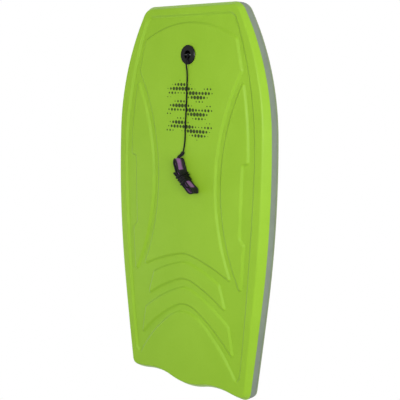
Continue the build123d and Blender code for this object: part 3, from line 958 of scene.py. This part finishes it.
knot = {
    "pin": (0.0, 0.4015, 0.046252),
    "middle": 0.0039,        # from the pin's line to the middle of the wound cord
    "strand": 0.00168,
    "turns": 3.0,
    "start": 0.6,            # how far round the pin the first turn begins, in radians
    "width": 0.0066,
    "steps": 96,
    "lead": (0.55, 0.7, 0.85, 1.0),  # shares of the way from the pin to the cup's rim
    "leadRadius": 0.00195,
    "leadSides": 16,
    "grip": 0.0009,
    "gripAt": (-0.0047, 0.0042),     # from the pin, along the board and up
    "gripSize": (0.0026, 0.00126),
    "gripSteps": 32,
    "gripSides": 10,
}


def makeKnot(spec):
    # turns of the cord's end round the pin, then the strand that leaves the cup
    hub = np.array(spec["pin"])
    share = np.arange(spec["steps"] + 1) / spec["steps"]
    angle = 2 * math.pi * spec["turns"] * share + spec["start"]
    coil = spec["middle"] * np.column_stack([0 * angle, -np.cos(angle), np.sin(angle)])
    places = hub + coil + np.outer(share - 0.5, (spec["width"], 0, 0))
    lead = hub + np.outer(spec["lead"], np.array(cord["route"][0]) - hub)
    # the last turn lies over the strand that leaves, and grips it
    angle = 2 * math.pi * np.arange(spec["gripSteps"] + 1) / spec["gripSteps"]
    wide, tall = spec["gripSize"]
    grip = hub + (0, *spec["gripAt"]) + np.column_stack(
        [wide * np.cos(angle), tall * np.sin(angle), tall * np.sin(angle)])
    return buildPiece("cordKnot", [tubeAlong(places, spec["strand"]),
                                   tubeAlong(lead, spec["leadRadius"], spec["leadSides"]),
                                   tubeAlong(grip, spec["grip"], spec["gripSides"])], 60)


settle(makeKnot(knot), "plug_knot", "cordBraid")

cuff = {
    "place": (0.017, 0.0685),
    "alongWay": (0.606, -0.795),
    "acrossWay": (0.795, 0.606),
    "low": 0.0557,
    "high": 0.0897,
    "half": 0.042,           # half of each straight run
    "near": 0.00775,         # middle of the strap's first wall, from the line of the coil
    "cover": 0.0148,         # and of the run that covers it
    "innerEnd": 0.032,
    "outerEnd": -0.027,
    "step": 0.002,
    "curlRun": 0.016,        # the strap's free end curls away from the coil
    "curl": 0.0042,
    "strap": 0.003,
    "hem": 0.28,
    "lining": 0.0015,
    "liningGap": 0.00005,
    "liningFoot": 0.0012,    # the lining stops this far inside the strap's edges
    "liningHead": 0.0055,
    "squeeze": 0.97,         # how flat the whole coil is pressed
    "gap": 0.00475,          # half of the slot inside the coil, which is nearly shut
    "shut": 0.62,
    "stretch": 0.13,
    "stretchRun": 0.05,
    "pinch": 0.09,
    "pinchLow": 0.16,
    "pinchSpan": 0.021,
    "pinchPower": 2.4,
    "bow": 0.0078,
    "bowRun": 0.045,
    "bowMiddle": 0.45,
    "middleAcross": -0.0035,
    "gatherLevel": 0.0715,
    "fall": 0.24,            # how far the top drops towards the free end
    "fallRun": (0.008, 0.055),
    "topWave": (0.03, 130),  # size, how often along, and how often across or where it starts
    "rimWave": (0.0006, 210, 90),
    "rimFrom": 0.068,
    "rimRise": 0.02,
    "sideWave": (0.0006, 160, 240),
    "leanWave": (0.10, 55, 0.4),
    # purple panels of the outer face: along the coil, then up its width
    "panels": [(-0.056, -0.0225, 0.40, 0.87), (0.0125, 0.038, 0.34, 0.87)],
    "panelSide": 0.0015,     # how softly the panels begin at their sides and foot
    "panelFoot": (0.04, 0.02),
}


def crumple(points, spec=cuff):
    # local place in the rolled cuff to its place on the deck: pinched by the band and bowed
    x, y, z = np.moveaxis(np.asarray(points, float), -1, 0)
    pinch = np.exp(-(np.abs(x) / spec["pinchSpan"]) ** spec["pinchPower"])
    y = y - np.sign(y) * np.minimum(np.abs(y), spec["gap"]) * spec["shut"]
    y = spec["middleAcross"] + (y - spec["middleAcross"]) * (spec["squeeze"] - spec["pinch"] * pinch)
    x = np.where(x < 0, x * (1 + spec["stretch"] * np.clip(-x / spec["stretchRun"], 0, 1)), x)
    size, often = spec["topWave"]
    fall = spec["fall"] * softStep(x, *spec["fallRun"]) + size * np.sin(x * often)
    z = spec["gatherLevel"] + (z - spec["gatherLevel"]) * (1 - spec["pinchLow"] * pinch - fall)
    size, often, slant = spec["rimWave"]
    z = z + size * np.sin(x * often + y * slant) * np.clip((z - spec["rimFrom"]) / spec["rimRise"], 0, 1)
    size, often, slant = spec["sideWave"]
    y = y + spec["bow"] * ((x / spec["bowRun"]) ** 2 - spec["bowMiddle"]) + size * np.sin(x * often + z * slant)
    size, often, start = spec["leanWave"]
    y = y + (z - spec["low"]) * size * np.sin(x * often + start)
    flat = [spec["place"][c] + spec["alongWay"][c] * x + spec["acrossWay"][c] * y for c in (0, 1)]
    return np.stack([*flat, z], axis=-1)


def woundLine(offset, spec):
    # line of a layer of the coil seen from above, its outward side and the distance along it
    near, cover, half = spec["near"] + offset, spec["cover"] + offset, spec["half"]
    places, sides = [], []

    def straight(first, last, y, side):
        count = max(2, round(abs(last - first) / spec["step"]))
        for k in range(count):
            places.append((first + (last - first) * k / count, y))
            sides.append((0.0, side))

    def bend(x, y, radius, first, turn):
        count = max(8, round(abs(radius * math.radians(turn)) / spec["step"] * 1.6))
        for k in range(count):
            side = facing(first + turn * k / count)
            places.append((x, y) + radius * side)
            sides.append(side)

    straight(spec["innerEnd"], -half, -near, -1)
    bend(-half, 0, near, 270, -180)
    straight(-half, half, near, 1)
    bend(half, (near - cover) / 2, (near + cover) / 2, 90, -180)
    straight(half, spec["outerEnd"], -cover, -1)
    places.append((spec["outerEnd"], -cover))
    sides.append((0.0, -1))
    places, sides = np.array(places), np.array(sides)
    run = runOf(places)
    curl = np.clip(1 - (run[-1] - run) / spec["curlRun"], 0, 1) ** 2 * spec["curl"]
    return places + sides * curl[:, None], sides, run


bandEnds = {"slim": 0.5, "slimRun": 0.0012, "drop": 0.0012, "dropRun": 0.0025}


def bandSections(places, sides, run, thick, low, high, hem=0.0, spec=bandEnds):
    # closed strap sections: flat faces, rounded edges and, with a hem, a thicker bound edge
    wide = 1 + hem
    flat = [(1, level) for level in np.linspace(0.14, 0.86, 7)]
    bound = [(wide, 0.885), (wide, 0.955), (0.72 * wide, 0.99)]
    foot = [(a, 1 - level) for a, level in bound]
    profile = [(-a, level) for a, level in flat + bound] + [(0, 1.0)] + bound[::-1] + flat[::-1]
    away, level = np.array(profile + foot + [(0, 0.0)] + [(-a, level) for a, level in foot[::-1]]).T
    sections, laid = [], []
    for place, side, at in zip(places, sides, run):
        ends = min(at, run[-1] - at)
        slim = 1 - spec["slim"] * max(0.0, 1 - ends / spec["slimRun"]) ** 2
        drop = spec["drop"] * max(0.0, 1 - ends / spec["dropRun"]) ** 2
        spots = place + np.outer(away, side) * thick / 2 * slim
        sections.append(lifted(spots, low + drop + (high - low - 2 * drop) * level))
        laid.append(np.column_stack([np.full(len(level), at), (high - low) * level, level]))
    return np.array(sections), np.array(laid)


def clothPiece(name, blocks, laid, node, finish, panel=None):
    # laid is the place measured along, across and as a share of the width of the cloth
    laid = np.asarray(laid).reshape(-1, 3)
    panel = np.zeros(len(laid)) if panel is None else panel
    marks = {"laid": ("FLOAT_VECTOR", "vector", laid), "panel": ("FLOAT", "value", panel)}
    settle(buildPiece(name, blocks, 60, weld=0, marks=marks), node, finish)


def makeStrap(spec):
    sections, laid = bandSections(*woundLine(0.0, spec), spec["strap"], spec["low"], spec["high"], spec["hem"])
    x, y, level = sections[..., 0], sections[..., 1], laid[..., 2]
    side, foot = spec["panelSide"], spec["panelFoot"]
    panel = np.zeros(x.shape)
    for low, high, under, over in spec["panels"]:
        inside = softStep(x, low, low + side) * (1 - softStep(x, high - side, high))
        inside = inside * softStep(level, under - foot[0], under + foot[1]) * (level < over)
        panel = np.maximum(panel, inside * (y > 0))
    clothPiece("cuffStrap", [shellOf(crumple(sections))], laid, "cuff_strap", "strapBlack",
               panel)


def makeLining(spec):
    places, sides, run = woundLine(-(spec["strap"] + spec["lining"]) / 2 - spec["liningGap"], spec)
    part = slice(1, len(places) - 1)
    sections, laid = bandSections(places[part], sides[part], run[part] - run[1], spec["lining"],
                                  spec["low"] + spec["liningFoot"], spec["high"] - spec["liningHead"])
    clothPiece("cuffLining", [shellOf(crumple(sections))], laid, "cuff_lining", "liningPurple")


patch = {"half": 0.026, "steps": 27, "thick": 0.0009, "margin": 0.003}


def makePatch(name, node, across, spec):
    xs = np.linspace(-spec["half"], spec["half"], spec["steps"])
    places, sides = lifted(xs, -across), np.tile((0.0, -1.0), (len(xs), 1))
    sections, laid = bandSections(places, sides, xs - xs[0], spec["thick"], cuff["low"] + spec["margin"],
                                  cuff["high"] - spec["margin"])
    clothPiece(name, [shellOf(crumple(sections))], laid, node, "hookBlack")


wraps = {
    "turns": 4,
    "perTurn": 12,
    "around": 44,
    "half": 0.0135,
    "wide": 0.0144,
    "tall": 0.0166,
    "across": -0.0037,
    "square": 4.0,           # 2 would be round, more is boxier
    "sunk": 0.0002,
    "rib": 0.0036,
    "ribShape": 0.6,
    "uneven": (0.0005, 2.1),
    "grow": (1.4, 1.2),      # how much of a rib's height goes sideways and upwards
    "skew": (0.0028, 0.00126),  # of every other turn
    "twist": 0.0009,
    "girth": 0.016,
}


def makeWraps(spec):
    # narrow strap wound several times round the folded cuff, each turn a raised rib
    turn = np.linspace(0, 2 * np.pi, spec["around"], endpoint=False)
    shares = np.linspace(0, 1, spec["turns"] * spec["perTurn"] + 1)
    c, s, square = np.cos(turn), np.sin(turn), spec["square"]
    size = (np.abs(c) ** square + np.abs(s) ** square) ** (-1 / square)
    middle = (cuff["low"] + cuff["high"]) / 2
    outer, inner = [], []
    for share in shares:
        wrap = min(int(share * spec["turns"]), spec["turns"] - 1)
        rib = abs(math.sin(math.pi * share * spec["turns"])) ** spec["ribShape"]
        proud = spec["sunk"] + spec["rib"] * rib + spec["uneven"][0] * math.sin(wrap * spec["uneven"][1])
        skew = spec["skew"][0 if wrap % 2 else 1] * s + spec["twist"] * np.sin(2 * turn + wrap)
        x = spec["half"] * (2 * share - 1) + skew
        for rows, high in ((outer, proud), (inner, -spec["sunk"])):
            y = spec["across"] + (spec["wide"] + high * spec["grow"][0]) * size * c
            rows.append(np.column_stack([x, y, middle + (spec["tall"] + high * spec["grow"][1]) * size * s]))
    sections = np.array(outer + inner[::-1])
    rows, columns = sections.shape[:2]
    laid = np.full(sections.shape, 0.5)
    laid[..., 0] = turn * spec["girth"]
    laid[..., 1] = np.concatenate([shares, shares[::-1]])[:, None] * 2 * spec["half"]
    clothPiece("cuffWraps", [(crumple(sections).reshape(-1, 3), gridFaces(rows, columns, wrapRows=True))], laid,
               "cuff_band", "webbingBlack")


makeStrap(cuff)
makeLining(cuff)
makePatch("loopPatch", "loop_patch", 0.00995, patch)
makePatch("hookPatch", "hook_patch", 0.0111, patch)
makeWraps(wraps)
print("cuff rolled")

tab = {
    "wide": 0.009,
    "layer": 0.0020,
    "gap": 0.00025,
    "entry": 0.0052,         # the cord's end lies this far inside the fold
    "steps": 26,
    "head": (-0.0009, -0.001, 0.0730),  # in the cuff, the first from its end
    "leave": 0.005,
    "arrive": (-0.0015, 0.005, -0.0015),
    "swell": 0.9,            # the layers part round the cord's end
    "swellAt": 0.8,
    "swellRun": 0.0035,
    # right half of a layer's section from its foot up, as shares of half its width and thickness
    "edge": [(0.3, -1), (0.8, -1), (1, -0.5), (0.96, 0.5), (0.8, 1), (0.3, 1)],
}


def makeTab(spec):
    # webbing doubled over the cord's end, rising to the head of the cuff
    places = routePoints(leashCord)
    end, way = places[-1], places[-1] - places[-4]
    way = way / np.linalg.norm(way)
    out, over, up = spec["head"]
    head = crumple((-cuff["half"] - cuff["near"] + out, over, up))
    begin, first, second = end - way * spec["entry"], end + way * spec["leave"], head + spec["arrive"]
    t = np.linspace(0, 1, spec["steps"] + 1)[:, None]
    line = (1 - t) ** 3 * begin + 3 * (1 - t) ** 2 * t * first + 3 * (1 - t) * t * t * second + t ** 3 * head
    a, b = np.array([(-a, b) for a, b in spec["edge"]] + spec["edge"][::-1]).T
    blocks, laid = [], []
    for side in (-1, 1):
        sections = []
        for at, place, along in zip(runOf(line), line, waysAlong(line)):
            flat = np.cross(along, (0, 0, 1))
            flat /= np.linalg.norm(flat)
            away = (at - spec["entry"] * spec["swellAt"]) / spec["swellRun"]
            spread = 1 + spec["swell"] * math.exp(-away ** 2)
            rise = side * (spec["layer"] + spec["gap"]) / 2 * spread + spec["layer"] / 2 * b
            across = spec["wide"] / 2 * a
            sections.append(place + np.outer(across, flat) + np.outer(rise, np.cross(flat, along)))
            laid.append(np.column_stack([np.full(len(a), at), across, (a + 1) / 2]))
        blocks.append(shellOf(sections))
    clothPiece("webbingTab", blocks, laid, "webbing_tab", "webbingBlack")


makeTab(tab)
print("tab sewn")

for name, paint in nodePaints.items():
    for place in nodes[name].material_slots:
        place.material = paints[paint]
print("every CAD node painted")
